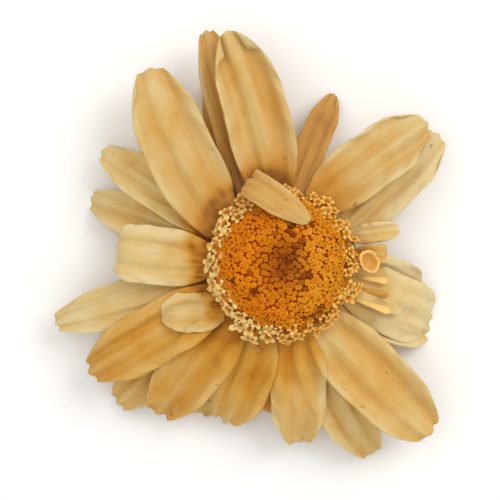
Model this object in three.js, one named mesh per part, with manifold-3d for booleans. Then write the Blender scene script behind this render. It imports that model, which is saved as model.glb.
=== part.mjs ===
// A dried chamomile flower head, picked off its stem and resting face up on its involucre.
// Millimetres, +Z up. The origin is the centre of the flat spot under the involucre.
import * as THREE from 'three';
import { mergeVertices } from 'three/addons/utils/BufferGeometryUtils.js';
import Module from 'manifold-3d';

const wasm = await Module();
wasm.setup();

// ---- Driving dimensions -------------------------------------------------------------------------

const involucre = {
  baseRadius: 1.2,       // the flat spot that the head rests on
  rimRadius: 3.35,
  rimHeight: 2.25,
  bossRadius: 2.0,       // the receptacle's core, which rises through the ring of petal claws
  bossTop: 2.85,
  sides: 24,
};

const bractRows = [
  { count: 11, turn: 0, from: 0.12, to: 0.56, width: 1.1, lift: 0.3 },
  { count: 13, turn: 14, from: 0.36, to: 0.8, width: 1.1, lift: 0.25 },
  { count: 16, turn: 5, from: 0.58, to: 1.0, width: 1.0, lift: 0.2 },
];
const bractThickness = 0.6;
const bractRidge = 0.1;
const bractRootDepth = 0.16;  // how far a bract's root is sunk in what it grows from
const bractOutline = [        // [share of the length, share of the width]
  [0, 0.75], [0.45, 1], [0.82, 0.72], [1, 0.22],
];

// The rim of the receptacle, which the claws of the petals grow from. Its lip carries the rim florets.
const collar = {
  inner: 2.12, outer: 3.6, bottom: 2.42, top: 2.85, lipInner: 3.26, lipTop: 3.46, sides: 40,
};

const blade = {
  rootRadius: 3.15,
  tierHeight: [2.42, 2.66],  // the under face of the lower and the upper layer of petals at the root
  thickness: 0.6,
  clawShare: 0.52,           // the claw's width as a share of the petal's
  fullFrom: 0.42,            // the petal has its full width between these two shares of its length
  fullTo: 0.64,
  tipRounding: 0.6,
  tipPower: 3.6,
  tipBow: 0.14,              // how far the corners of the tip lie behind its middle
  rootCup: 0.4,              // the section curls this share of its full angle at the root
  cellsAlong: 8,
  cellsAcross: 4,
  lineSteps: 64,
};

// Small steep petals leave the collar further out, so that they pass under the rim florets.
const smallRoot = { root: 3.45, height: 2.55 };

// The petals, anticlockwise from +X. Degrees: at is the root's bearing, lean turns the petal from
// it, sweep bends it sideways along its length, rise is the slope it leaves the head with, droop
// is what its slope changes by, and cup is how far each half of its section curls up. curl is a
// further bend, from the share curlFrom of its length to the share curlTo, or to its tip. A petal
// with a tipCup changes its cup to that towards the tip, and one with a tipRounding of its own ends
// more pointed or squarer than the rest.
const petals = [
  {
    at: 22, lean: -12, sweep: -4, length: 2.4, width: 1.0, rise: 26, droop: -30, cup: 22, ...smallRoot,
    tipRounding: 0.3,
  },
  {
    at: 7, lean: -4, sweep: 0, length: 2.2, width: 0.9, rise: 34, droop: 0, cup: 12, ...smallRoot,
    curl: -150, curlFrom: 0.3,
  },
  { at: -4, lean: -11, sweep: -9, length: 4.8, width: 2.3, rise: 2, droop: -74, cup: 20, tier: 0 },
  {
    at: -17, lean: -6, sweep: -2, length: 5.4, width: 3.0, rise: 2, droop: -64, cup: -14, tier: 1,
    tipRounding: 0.25,
  },
  { at: -22, lean: -2, sweep: 6, length: 2.7, width: 0.7, rise: 16, droop: -42, cup: 30, ...smallRoot },
  {
    at: -28, lean: -3, sweep: 24, length: 5.5, width: 2.3, rise: -2, droop: -52, cup: 18, tier: 0,
    tipRounding: 0.3,
  },
  { at: -55, lean: 5, sweep: 9, length: 7.7, width: 3.4, rise: 10, droop: -32, cup: 22, tier: 1 },
  { at: -68, lean: -2, sweep: 16, length: 7.3, width: 2.6, rise: 5, droop: -36, cup: 18, tier: 0 },
  { at: -78, lean: -8, sweep: -4, length: 5.8, width: 2.6, rise: 8, droop: -46, cup: 20, tier: 1 },
  { at: -94, lean: -2, sweep: 2, length: 5.0, width: 2.8, rise: 3, droop: -68, cup: 16, tier: 0 },
  { at: -108, lean: -1, sweep: -4, length: 5.3, width: 2.9, rise: 8, droop: -58, cup: 24, tier: 1 },
  { at: -119, lean: 0, sweep: -2, length: 5.8, width: 2.6, rise: 3, droop: -58, cup: 16, tier: 0 },
  { at: -130, lean: 0, sweep: 2, length: 6.5, width: 2.9, rise: 8, droop: -46, cup: 22, tier: 1 },
  { at: -141, lean: 2, sweep: 0, length: 7.6, width: 2.6, rise: 4, droop: -40, cup: 20, tier: 0 },
  { at: -151, lean: 0, sweep: 2, length: 7.4, width: 2.9, rise: 9, droop: -34, cup: 24, tier: 1 },
  { at: -141, lean: -36, sweep: 0, length: 3.0, width: 1.9, rise: 22, droop: -40, cup: 26, ...smallRoot },
  { at: -168, lean: 3, sweep: 2, length: 8.1, width: 2.2, rise: 3, droop: -22, cup: 16, tier: 0 },
  {
    at: 178, lean: -3, sweep: -4, length: 5.6, width: 2.7, rise: 14, droop: -14, cup: 18, tier: 1,
    curl: -120, curlFrom: 0.64, tipCup: -30,
  },
  { at: 163, lean: 0, sweep: -6, length: 7.1, width: 2.1, rise: 2, droop: -46, cup: 18, tier: 0 },
  { at: 150, lean: -4, sweep: 2, length: 7.0, width: 2.2, rise: 5, droop: -26, cup: 18, tier: 0 },
  { at: 142, lean: -18, sweep: -18, length: 8.4, width: 3.3, rise: 10, droop: -26, cup: 24, tier: 1 },
  { at: 124, lean: -20, sweep: 0, length: 7.0, width: 1.7, rise: -4, droop: -34, cup: 16, tier: 0 },
  { at: 114, lean: -11, sweep: 5, length: 8.5, width: 2.1, rise: 6, droop: -20, cup: 20, tier: 0 },
  {
    at: 93, lean: 4, sweep: 18, length: 8.2, width: 2.6, rise: 14, droop: -28, cup: 24, tier: 1,
    tipRounding: 0.86,
  },
  {
    at: 81, lean: -12, sweep: -4, length: 6.1, width: 1.5, rise: 0, droop: -46, cup: 16, tier: 0,
    tipRounding: 0.9,
  },
  { at: 60, lean: -20, sweep: -8, length: 6.6, width: 2.9, rise: 12, droop: -30, cup: 22, tier: 1 },
  { at: 28, lean: 16, sweep: 0, length: 6.7, width: 2.6, rise: 7, droop: -28, cup: 20, tier: 0 },
];

// One small petal stands up outside the rim florets and folds back over the disc.
const foldedPetal = {
  at: 108, root: 4.13, height: 2.7, heading: -33, sweep: 0, length: 5.3, width: 1.4,
  rise: 98, droop: 0, cup: -14, curl: -108, curlFrom: 0.2, curlTo: 0.66,
};

const rimFlorets = {
  count: 24, ringInner: 3.22, ringOuter: 3.66, ringBottom: 3.5, ringTop: 3.78, sides: 24,
  standRadius: 3.45, lean: 38, spin: 1.3, height: 0.66, tubeRadius: 0.15, lobeRadius: 0.36,
  notchRadius: 0.21,
};
const lobePoints = 10;  // five lobes and five notches

const disc = {
  radius: 2.86, bottom: 2.92, shoulder: 3.5, top: 4.95, crown: 2.6, dimpleRadius: 0.85,
  dimpleDepth: 0.42, sides: 24, count: 150,
  rings: [1, 0.985, 0.93, 0.82, 0.66, 0.48, 0.32, 0.18, 0],  // where the dome is divided, by radius
};
const bud = { radius: 0.255, footShare: 0.8, height: 0.3, widestShare: 0.5, sink: 0.2, spin: 2, sides: 5 };

const goldenAngle = Math.PI * (3 - Math.sqrt(5));
const shortEdge = 0.006;     // edges that joining leaves shorter than this are closed up
const weldDistance = 0.001;

// ---- Solids -------------------------------------------------------------------------------------

const radians = THREE.MathUtils.degToRad;

function polar(bearing, radius, height) {
  return new THREE.Vector3(radius * Math.cos(bearing), radius * Math.sin(bearing), height);
}

function solidFrom(geometry, weld = 1e-5) {
  geometry.deleteAttribute('normal');
  geometry.deleteAttribute('uv');
  const merged = mergeVertices(geometry, weld);
  return new wasm.Manifold(new wasm.Mesh({
    numProp: 3,
    vertProperties: new Float32Array(merged.attributes.position.array),
    triVerts: new Uint32Array(merged.index.array),
  }));
}

function indexed(points, faces) {
  const geometry = new THREE.BufferGeometry().setFromPoints(points);
  geometry.setIndex(faces);
  return geometry;
}

// A lathe turned about +Z from a profile of [radius, height] points.
function turned(profile, sides) {
  const geometry = new THREE.LatheGeometry(profile.map(([r, z]) => new THREE.Vector2(r, z)), sides);
  return solidFrom(geometry.rotateX(Math.PI / 2));
}

function geometryOf(solid) {
  const { vertProperties, triVerts } = solid.getMesh();
  const geometry = new THREE.BufferGeometry();
  geometry.setAttribute('position', new THREE.BufferAttribute(vertProperties, 3));
  geometry.setIndex(new THREE.BufferAttribute(triVerts, 1));
  return geometry;
}

// Joins solids into one body. Points that joining leaves nearly together are welded, and sealed
// hollows and loose scraps are left out.
function fuse(solids) {
  const joined = wasm.Manifold.union(solids).simplify(shortEdge);
  const bodies = solidFrom(geometryOf(joined), weldDistance).simplify(shortEdge).decompose();
  return bodies.reduce((largest, body) => (body.volume() > largest.volume() ? body : largest));
}

function meshOf(solid, name, color, roughness) {
  const geometry = geometryOf(solid);
  geometry.computeVertexNormals();
  const material = new THREE.MeshStandardMaterial({ color, roughness, metalness: 0, flatShading: true });
  const mesh = new THREE.Mesh(geometry, material);
  mesh.name = name;
  return mesh;
}

// Closes two grids of points, the upper over the lower, into a slab with its sides.
// Both are split into triangles along the same diagonals.
function slab(lower, upper) {
  const rows = lower.length;
  const columns = lower[0].length;
  const points = [...lower.flat(), ...upper.flat()];
  const low = (i, j) => i * columns + j;
  const high = (i, j) => rows * columns + low(i, j);
  const faces = [];
  for (let i = 0; i + 1 < rows; i += 1) {
    for (let j = 0; j + 1 < columns; j += 1) {
      faces.push(high(i, j), high(i + 1, j), high(i + 1, j + 1));
      faces.push(high(i, j), high(i + 1, j + 1), high(i, j + 1));
      faces.push(low(i, j), low(i + 1, j + 1), low(i + 1, j));
      faces.push(low(i, j), low(i, j + 1), low(i + 1, j + 1));
    }
  }
  const wall = (i, j, k, l) => {
    faces.push(low(i, j), low(k, l), high(k, l));
    faces.push(low(i, j), high(k, l), high(i, j));
  };
  for (let j = 0; j + 1 < columns; j += 1) {
    wall(0, j + 1, 0, j);
    wall(rows - 1, j, rows - 1, j + 1);
  }
  for (let i = 0; i + 1 < rows; i += 1) {
    wall(i, 0, i + 1, 0);
    wall(i + 1, columns - 1, i, columns - 1);
  }
  return solidFrom(indexed(points, faces));
}

// ---- Involucre: receptacle, bracts and the stem's stub, snapped off level with the base ----------

const cushion = new THREE.CatmullRomCurve3([
  new THREE.Vector3(involucre.baseRadius, 0, 0),
  new THREE.Vector3(2.15, 0, 0.28),
  new THREE.Vector3(2.95, 0, 0.95),
  new THREE.Vector3(involucre.rimRadius, 0, involucre.rimHeight),
]);

function bract(row, number) {
  const bearing = (number * 2 * Math.PI) / row.count + radians(row.turn);
  const across = polar(bearing + Math.PI / 2, 1, 0);
  const outer = [];
  const inner = [];
  for (const [share, widthShare] of bractOutline) {
    const place = row.from + (row.to - row.from) * share;
    const onCushion = cushion.getPoint(place);
    const slope = cushion.getTangent(place);
    const out = polar(bearing, slope.z, -slope.x);
    const centre = polar(bearing, onCushion.x, onCushion.z);
    const half = (row.width / 2) * widthShare;
    const lift = THREE.MathUtils.lerp(-bractRootDepth, row.lift, share);
    const line = [1, 0, -1].map((side) => centre.clone()
      .addScaledVector(across, side * half)
      .addScaledVector(out, lift + (side === 0 ? bractRidge : 0)));
    outer.push(line);
    inner.push(line.map((point) => point.clone().addScaledVector(out, -bractThickness)));
  }
  return slab(inner, outer);
}

function makeInvolucre() {
  const cup = turned([
    [0, 0],
    ...cushion.getPoints(5).map((point) => [point.x, point.z]),
    [involucre.bossRadius, involucre.rimHeight],
    [involucre.bossRadius, involucre.bossTop],
    [0, involucre.bossTop],
  ], involucre.sides);
  const bracts = bractRows.flatMap((row) => Array.from({ length: row.count }, (_, k) => bract(row, k)));
  return fuse([cup, ...bracts]);
}

// ---- Ray florets --------------------------------------------------------------------------------

// The under face's middle line of a petal: place, sideways direction and upward normal by share.
function middleLine(petal) {
  const root = petal.root ?? blade.rootRadius;
  const height = petal.height ?? blade.tierHeight[petal.tier];
  const place = polar(radians(petal.at), root, height);
  const steps = [];
  for (let k = 0; k <= blade.lineSteps; k += 1) {
    const share = k / blade.lineSteps;
    const heading = radians((petal.heading ?? petal.at + petal.lean) + petal.sweep * share);
    const bend = THREE.MathUtils.smoothstep(share, petal.curlFrom ?? 0, petal.curlTo ?? 1);
    const slope = radians(petal.rise + petal.droop * share + (petal.curl ?? 0) * bend);
    const along = polar(heading, Math.cos(slope), Math.sin(slope));
    const side = polar(heading + Math.PI / 2, 1, 0);
    steps.push({ place: place.clone(), side, normal: along.clone().cross(side) });
    place.addScaledVector(along, petal.length / blade.lineSteps);
  }
  return steps;
}

function petalWidth(petal, share) {
  const claw = blade.clawShare;
  const swell = claw + (1 - claw) * Math.sin(Math.min(share / blade.fullFrom, 1) * (Math.PI / 2));
  const taper = Math.max(0, (share - blade.fullTo) / (1 - blade.fullTo));
  const rounding = petal.tipRounding ?? blade.tipRounding;
  return petal.width * swell * Math.sqrt(1 - rounding * taper ** blade.tipPower);
}

function makePetal(petal) {
  const line = middleLine(petal);
  const lower = [];
  const upper = [];
  for (let i = 0; i <= blade.cellsAlong; i += 1) {
    const share = i / blade.cellsAlong;
    const tipCup = petal.tipCup ?? petal.cup;
    const fullCup = THREE.MathUtils.lerp(petal.cup, tipCup, THREE.MathUtils.smoothstep(share, 0, 1));
    const cup = radians(fullCup) * THREE.MathUtils.lerp(blade.rootCup, 1, share);
    const bendRadius = petalWidth(petal, share) / 2 / cup;
    const lowerRow = [];
    const upperRow = [];
    for (let j = 0; j <= blade.cellsAcross; j += 1) {
      const across = -1 + (2 * j) / blade.cellsAcross;
      const reach = share * (1 - blade.tipBow * across ** 4);
      const step = line[Math.round(reach * blade.lineSteps)];
      const turn = across * cup;
      const under = step.place.clone()
        .addScaledVector(step.side, bendRadius * Math.sin(turn))
        .addScaledVector(step.normal, bendRadius * (1 - Math.cos(turn)));
      under.z = Math.max(under.z, 0);
      const up = step.normal.clone()
        .multiplyScalar(Math.cos(turn))
        .addScaledVector(step.side, -Math.sin(turn));
      lowerRow.push(under);
      upperRow.push(under.clone().addScaledVector(up, blade.thickness));
    }
    lower.push(lowerRow);
    upper.push(upperRow);
  }
  return slab(lower, upper);
}

function makeRayFlorets() {
  const ring = turned([
    [collar.inner, collar.bottom],
    [collar.outer, collar.bottom],
    [collar.outer, collar.lipTop],
    [collar.lipInner, collar.lipTop],
    [collar.lipInner, collar.top],
    [collar.inner, collar.top],
    [collar.inner, collar.bottom],
  ], collar.sides);
  return fuse([ring, ...petals.map(makePetal), makePetal(foldedPetal)]);
}

// ---- Rim florets: opened, with five lobes each ---------------------------------------------------

function starRing(radiusA, radiusB, height) {
  return Array.from({ length: lobePoints }, (_, k) => (
    polar((k * 2 * Math.PI) / lobePoints, k % 2 ? radiusB : radiusA, height)
  ));
}

function openFloret(number) {
  const size = rimFlorets;
  const points = [
    new THREE.Vector3(0, 0, -size.height / 2),
    ...starRing(size.tubeRadius, size.tubeRadius, -size.height / 2),
    ...starRing(size.lobeRadius, size.notchRadius, size.height / 2),
    new THREE.Vector3(0, 0, size.height / 4),
  ];
  const mouth = 1 + lobePoints;
  const throat = mouth + lobePoints;
  const faces = [];
  for (let k = 0; k < lobePoints; k += 1) {
    const next = (k + 1) % lobePoints;
    faces.push(0, 1 + next, 1 + k);
    faces.push(1 + k, 1 + next, mouth + next, 1 + k, mouth + next, mouth + k);
    faces.push(throat, mouth + k, mouth + next);
  }
  const bearing = (number * 2 * Math.PI) / size.count;
  const geometry = indexed(points, faces);
  geometry.rotateZ(number * size.spin);
  geometry.rotateY(radians(size.lean));
  geometry.rotateZ(bearing);
  const foot = polar(bearing, size.standRadius, size.ringTop + size.height / 4);
  return solidFrom(geometry.translate(foot.x, foot.y, foot.z));
}

function makeRimFlorets() {
  const size = rimFlorets;
  const ring = turned([
    [size.ringInner, size.ringBottom],
    [size.ringOuter, size.ringBottom],
    [size.ringOuter, size.ringTop],
    [size.ringInner, size.ringTop],
    [size.ringInner, size.ringBottom],
  ], size.sides);
  return fuse([ring, ...Array.from({ length: size.count }, (_, k) => openFloret(k))]);
}

// ---- Disc: a dome of closed florets, laid out by the golden angle ---------------------------------

function domeHeight(radius) {
  const share = radius / disc.radius;
  const crown = Math.sqrt(Math.max(0, 1 - share ** disc.crown));
  const dimple = disc.dimpleDepth * Math.exp(-((radius / disc.dimpleRadius) ** 2));
  return disc.shoulder + (disc.top - disc.shoulder) * crown - dimple;
}

function closedFloret(number) {
  const share = Math.sqrt((number + 0.5) / disc.count);
  const radius = disc.radius * Math.sin((share * Math.PI) / 2);
  const bearing = number * goldenAngle;
  const step = 0.02;
  const fall = (domeHeight(Math.max(radius - step, 0)) - domeHeight(radius + step)) / (2 * step);
  const tilt = Math.atan(fall);
  const geometry = new THREE.LatheGeometry([
    new THREE.Vector2(0, -bud.sink),
    new THREE.Vector2(bud.radius * bud.footShare, -bud.sink),
    new THREE.Vector2(bud.radius, bud.height * bud.widestShare),
    new THREE.Vector2(0, bud.height),
  ], bud.sides).rotateX(Math.PI / 2).rotateZ(number * bud.spin).rotateY(tilt).rotateZ(bearing);
  const foot = polar(bearing, radius, domeHeight(radius));
  return solidFrom(geometry.translate(foot.x, foot.y, foot.z));
}

function makeDiscFlorets() {
  const profile = [[0, disc.bottom], [disc.radius, disc.bottom]];
  for (const share of disc.rings) {
    profile.push([disc.radius * share, domeHeight(disc.radius * share)]);
  }
  const dome = turned(profile, disc.sides);
  return fuse([dome, ...Array.from({ length: disc.count }, (_, k) => closedFloret(k))]);
}

// ---- The head -----------------------------------------------------------------------------------

const head = new THREE.Group();
head.add(
  meshOf(makeInvolucre(), 'involucre_and_stem', '#8f8049', 0.85),
  meshOf(makeRayFlorets(), 'ray_florets', '#d8b881', 0.8),
  meshOf(makeRimFlorets(), 'rim_florets', '#d9a552', 0.8),
  meshOf(makeDiscFlorets(), 'disc_florets', '#bf7316', 0.85),
);

export default head;
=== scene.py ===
import math
import random

import bpy
from mathutils import Matrix, Vector, noise
from mathutils.bvhtree import BVHTree


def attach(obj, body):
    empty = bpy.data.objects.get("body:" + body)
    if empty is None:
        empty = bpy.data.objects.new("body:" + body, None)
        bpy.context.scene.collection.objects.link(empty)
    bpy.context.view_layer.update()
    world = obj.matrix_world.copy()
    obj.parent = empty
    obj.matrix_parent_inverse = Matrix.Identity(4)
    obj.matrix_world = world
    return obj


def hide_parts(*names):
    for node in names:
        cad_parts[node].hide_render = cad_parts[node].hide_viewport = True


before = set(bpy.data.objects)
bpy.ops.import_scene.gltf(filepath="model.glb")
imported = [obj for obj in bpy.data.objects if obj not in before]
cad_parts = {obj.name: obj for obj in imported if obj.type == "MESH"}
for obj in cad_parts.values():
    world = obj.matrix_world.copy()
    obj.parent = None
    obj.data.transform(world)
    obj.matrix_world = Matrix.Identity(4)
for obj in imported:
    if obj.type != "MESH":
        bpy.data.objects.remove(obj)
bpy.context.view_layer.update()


# ---- Involucre ---------------------------------------------------------------------------------
# The green cushion under the flower. Rows of narrow bracts overlap like roof tiles on the
# receptacle, each with a ribbed olive middle and a papery tan margin. In the centre below is the
# scar where the stem snapped off.

MM = 0.001


class Pile:
    """The points, faces and marks of one piece while it is being built, in millimetres."""

    def __init__(self, *marks):
        self.points = []
        self.faces = []
        self.marks = {mark: [] for mark in marks}

    def add(self, points, faces, **marks):
        first = len(self.points)
        self.points.extend(points)
        self.faces.extend([tuple(first + corner for corner in face) for face in faces])
        for mark, values in self.marks.items():
            given = marks.get(mark, 0.0)
            values.extend(given if isinstance(given, list) else [given] * len(points))

    def make(self, name, finish, node):
        mesh = bpy.data.meshes.new(name)
        mesh.from_pydata([point * MM for point in self.points], [], self.faces)
        for mark, values in self.marks.items():
            mesh.attributes.new(mark, "FLOAT", "POINT").data.foreach_set("value", values)
        mesh.polygons.foreach_set("use_smooth", [True] * len(mesh.polygons))
        mesh.materials.append(finish.material)
        piece = bpy.data.objects.new(name, mesh)
        bpy.context.scene.collection.objects.link(piece)
        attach(piece, "root")
        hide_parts(node)


class Wire:
    """A socket in a finish. Arithmetic on it adds Math nodes."""

    def __init__(self, finish, socket):
        self.finish = finish
        self.socket = socket

    def math(self, operation, first, second=0.0):
        return self.finish.node("ShaderNodeMath", {"operation": operation}, {0: first, 1: second})

    def __add__(self, other):
        return self.math("ADD", self, other)

    def __sub__(self, other):
        return self.math("SUBTRACT", self, other)

    def __rsub__(self, other):
        return self.math("SUBTRACT", other, self)

    def __mul__(self, other):
        return self.math("MULTIPLY", self, other)

    def clipped(self):
        return self.math("MAXIMUM", self.math("MINIMUM", self, 1.0), 0.0)

    def between(self, low, high):
        """0 below low, 1 above high, and smooth in between."""
        settings = {"interpolation_type": "SMOOTHSTEP"}
        return self.finish.node("ShaderNodeMapRange", settings, {0: self, 1: low, 2: high})

    __radd__ = __add__
    __rmul__ = __mul__


class Finish:
    """A material made of nodes."""

    def __init__(self, name):
        self.material = bpy.data.materials.new(name)
        self.material.use_nodes = True
        self.tree = self.material.node_tree
        self.shader = self.tree.nodes["Principled BSDF"]

    def plug(self, socket, value):
        if isinstance(value, Wire):
            self.tree.links.new(value.socket, socket)
        else:
            socket.default_value = value

    def node(self, kind, settings, inputs, output=0):
        """Adds a node of a kind, sets it, fills its inputs and gives back one of its outputs."""
        made = self.tree.nodes.new(kind)
        for setting, value in settings.items():
            if setting == "stops":
                ramp = made.color_ramp.elements
                while len(ramp) < len(value):
                    ramp.new(1.0)
                for element, (position, colour) in zip(ramp, value):
                    element.position = position
                    element.color = colour
            else:
                setattr(made, setting, value)
        for socket, value in inputs.items():
            self.plug(made.inputs[socket], value)
        return Wire(self, made.outputs[output])

    def mark(self, name):
        return self.node("ShaderNodeAttribute", {"attribute_name": name}, {}, "Fac")

    def ramp(self, factor, stops):
        return self.node("ShaderNodeValToRGB", {"stops": stops}, {0: factor})

    def blend(self, factor, under, over):
        settings = {"data_type": "RGBA", "blend_type": "MIX"}
        return self.node("ShaderNodeMix", settings, {0: factor, 6: under, 7: over}, 2)

    def grain(self, place, scale, detail):
        sockets = {"Vector": place, "Scale": scale, "Detail": detail, "Roughness": 0.55}
        return self.node("ShaderNodeTexNoise", {}, sockets)

    def place(self, x, y, z):
        return self.node("ShaderNodeCombineXYZ", {}, {0: x, 1: y, 2: z})

    def bump(self, height, distance, strength):
        sockets = {"Height": height, "Distance": distance, "Strength": strength}
        return self.node("ShaderNodeBump", {}, sockets)

    def dress(self, sockets):
        for socket, value in sockets.items():
            self.plug(self.shader.inputs[socket], value)


def paint(red, green, blue):
    """A colour as seen, 0 to 255, in the linear values that shaders use."""
    return tuple(((part / 255 + 0.055) / 1.055) ** 2.4 for part in (red, green, blue)) + (1.0,)


def polar(bearing, radius, height):
    return Vector((radius * math.cos(bearing), radius * math.sin(bearing), height))


def slab_faces(rows, columns):
    """The faces of a closed slab: a grid of points below, then one above, each row by row."""
    def low(row, column):
        return row * columns + column

    def high(row, column):
        return rows * columns + low(row, column)

    faces = []
    for i in range(rows - 1):
        for j in range(columns - 1):
            faces.append((high(i, j), high(i + 1, j), high(i + 1, j + 1), high(i, j + 1)))
            faces.append((low(i, j), low(i, j + 1), low(i + 1, j + 1), low(i + 1, j)))
    edge = [(0, j) for j in range(columns)]
    edge += [(i, columns - 1) for i in range(1, rows)]
    edge += [(rows - 1, j) for j in range(columns - 2, -1, -1)]
    edge += [(i, 0) for i in range(rows - 2, 0, -1)]
    for here, after in zip(edge, edge[1:] + edge[:1]):
        faces.append((low(*after), low(*here), high(*here), high(*after)))
    return faces


def ringed_faces(rings, sides):
    """The faces of a closed solid: a point on its axis, rings of points and a last point."""
    faces = []
    for k in range(sides):
        after = (k + 1) % sides
        faces.append((0, 1 + after, 1 + k))
        for ring in range(rings - 1):
            low = 1 + ring * sides
            faces.append((low + k, low + after, low + sides + after, low + sides + k))
        last = 1 + (rings - 1) * sides
        faces.append((last + k, last + after, last + sides))
    return faces


def turned(profile, sides):
    """A closed solid turned about +Z from (radius, height) points that start and end on the axis."""
    points = [Vector((0, 0, profile[0][1]))]
    for radius, height in profile[1:-1]:
        points.extend(polar(math.tau * k / sides, radius, height) for k in range(sides))
    points.append(Vector((0, 0, profile[-1][1])))
    return points, ringed_faces(len(profile) - 2, sides)


BASE_RADIUS = 1.2
BASE_HEIGHT = 0.12
RIM_RADIUS = 3.35
RIM_HEIGHT = 2.25
RECEPTACLE_TOP = 2.62
SCAR_RADIUS = 0.5
FLARE_OUT = 1.6
FLARE_UP = 0.6


def on_cushion(place):
    """(radius, height) on the cushion: its base's edge at 0, its rim at 1, and the flare past it."""
    angle = min(place, 1.0) * math.pi / 2
    beyond = max(place - 1.0, 0.0)
    radius = BASE_RADIUS + (RIM_RADIUS - BASE_RADIUS) * math.sin(angle) + FLARE_OUT * beyond
    swell = 1 - math.cos(max(angle, 0.0))
    return radius, BASE_HEIGHT + (RIM_HEIGHT - BASE_HEIGHT) * swell + FLARE_UP * beyond


def cushion_out(place):
    """(radius, height) of the direction that points straight out of the cushion's side."""
    angle = min(max(place, 0.0), 1.0) * math.pi / 2
    along = Vector(((RIM_RADIUS - BASE_RADIUS) * math.cos(angle), RIM_HEIGHT * math.sin(angle)))
    along.normalize()
    return along.y, -along.x


# turn is in degrees. start and end are places on the cushion, and lift is how far the tip stands off.
BRACT_ROWS = (
    {"count": 11, "turn": 0, "start": -0.2, "end": 0.58, "width": 1.25, "lift": 0.26},
    {"count": 13, "turn": 14, "start": 0.2, "end": 0.82, "width": 1.25, "lift": 0.2},
    {"count": 16, "turn": 16, "start": 0.55, "end": 1.1, "width": 1.0, "lift": 0.06},
    {"count": 16, "turn": 5, "start": 0.5, "end": 1.12, "width": 1.1, "lift": 0.14},
)
BRACT_ALONG = 18
BRACT_ACROSS = 12
BRACT_FOOT = 0.62
BRACT_WIDEST = 0.5
BRACT_BOW = 0.16
BRACT_TAPER = 0.93
BRACT_OVERLAP = 1.2
BRACT_RIB = 0.07
BRACT_RIB_WIDTH = 0.16
BRACT_LINES = 0.018
BRACT_LINE_TURNS = 14
BRACT_MARGIN = 0.02
BRACT_BODY = 0.1
BRACT_CUP = 0.1
BRACT_FLUTTER = 0.06
OFF_THE_TABLE = 0.03

involucre_draw = random.Random(11)
involucre = Pile("along", "edge", "seed", "scar")


def lay_bract(row, number):
    bearing = math.tau * number / row["count"] + math.radians(row["turn"])
    bearing += involucre_draw.uniform(-0.05, 0.05)
    length = involucre_draw.uniform(0.92, 1.0)
    seed = involucre_draw.uniform(0, 50)
    across = polar(bearing + math.pi / 2, 1, 0)
    under, over, along_marks, edge_marks = [], [], [], []
    for i in range(BRACT_ALONG + 1):
        for j in range(BRACT_ACROSS + 1):
            side = 1 - 2 * j / BRACT_ACROSS
            share = i / BRACT_ALONG
            reach = share * (1 - BRACT_BOW * side ** 4)
            place = row["start"] + (row["end"] - row["start"]) * reach * length
            radius, height = on_cushion(place)
            out_radius, out_height = cushion_out(place)
            out = polar(bearing, out_radius, out_height)
            widening = math.sin(min(share / BRACT_WIDEST, 1) * math.pi / 2)
            swell = BRACT_FOOT + (1 - BRACT_FOOT) * widening
            past_widest = max(0, (share - BRACT_WIDEST) / (1 - BRACT_WIDEST))
            taper = math.sqrt(1 - BRACT_TAPER * past_widest ** 2.4)
            half = row["width"] / 2 * swell * taper
            half = min(half, BRACT_OVERLAP * radius * math.tan(math.pi / row["count"]))
            rib = BRACT_RIB * math.exp(-(side / BRACT_RIB_WIDTH) ** 2)
            rib += BRACT_LINES * math.cos(side * BRACT_LINE_TURNS)
            flutter = BRACT_FLUTTER * side * side * noise.noise(Vector((share * 4, side * 2, seed)))
            lift = row["lift"] * share ** 1.3 - BRACT_CUP * side * side * share + flutter
            thick = BRACT_MARGIN + BRACT_BODY * (1 - side ** 4) * (1 - share ** 6)
            centre = polar(bearing, radius, height) + across * (half * side)
            outer = centre + out * (lift + rib * (1 - share ** 4) + thick)
            inner = centre + out * (lift - BRACT_MARGIN)
            outer.z = max(outer.z, 0.0)
            inner.z = max(inner.z, OFF_THE_TABLE)
            over.append(outer)
            under.append(inner)
            along_marks.append(share)
            edge_marks.append(abs(side))
    faces = slab_faces(BRACT_ALONG + 1, BRACT_ACROSS + 1)
    involucre.add(under + over, faces, along=along_marks * 2, edge=edge_marks * 2, seed=seed)


# The receptacle's outline, from the middle of its base up its side and over the rim's lip.
CUSHION_STEPS = 14
CUSHION_SIDES = 72
BASE_INSET = 0.9
cushion_profile = [(0, BASE_HEIGHT + OFF_THE_TABLE)]
cushion_profile += [(BASE_RADIUS * BASE_INSET, BASE_HEIGHT + OFF_THE_TABLE)]
cushion_profile += [on_cushion((step + 1) / CUSHION_STEPS) for step in range(CUSHION_STEPS)]
cushion_profile += [(RIM_RADIUS + 0.22, RIM_HEIGHT + 0.12), (RIM_RADIUS + 0.2, RIM_HEIGHT + 0.22)]
cushion_profile += [(RIM_RADIUS - 0.4, RECEPTACLE_TOP), (0, RECEPTACLE_TOP)]
cushion_points, cushion_faces = turned(cushion_profile, CUSHION_SIDES)
involucre.add(cushion_points, cushion_faces, along=0.15, edge=1.0, seed=3.0)

# The scar's outline, from the stem's hollow pith outwards to its ragged bark.
SCAR_SIDES = 40
SCAR_RAGGEDNESS = 0.12
scar_profile = [
    (0, 0.0), (0.12, 0.0), (0.17, 0.035), (0.24, 0.02), (0.32, 0.0), (0.42, 0.01),
    (SCAR_RADIUS, 0.06), (SCAR_RADIUS, 0.2), (0, 0.2),
]
scar_points, scar_faces = turned(scar_profile, SCAR_SIDES)
for point in scar_points:
    ragged = 1 + SCAR_RAGGEDNESS * noise.noise(Vector((point.x * 5, point.y * 5, 2.0)))
    point.x *= ragged
    point.y *= ragged
involucre.add(scar_points, scar_faces, scar=1.0, seed=7.0)

for bract_row in BRACT_ROWS:
    for bract_number in range(bract_row["count"]):
        lay_bract(bract_row, bract_number)

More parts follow.
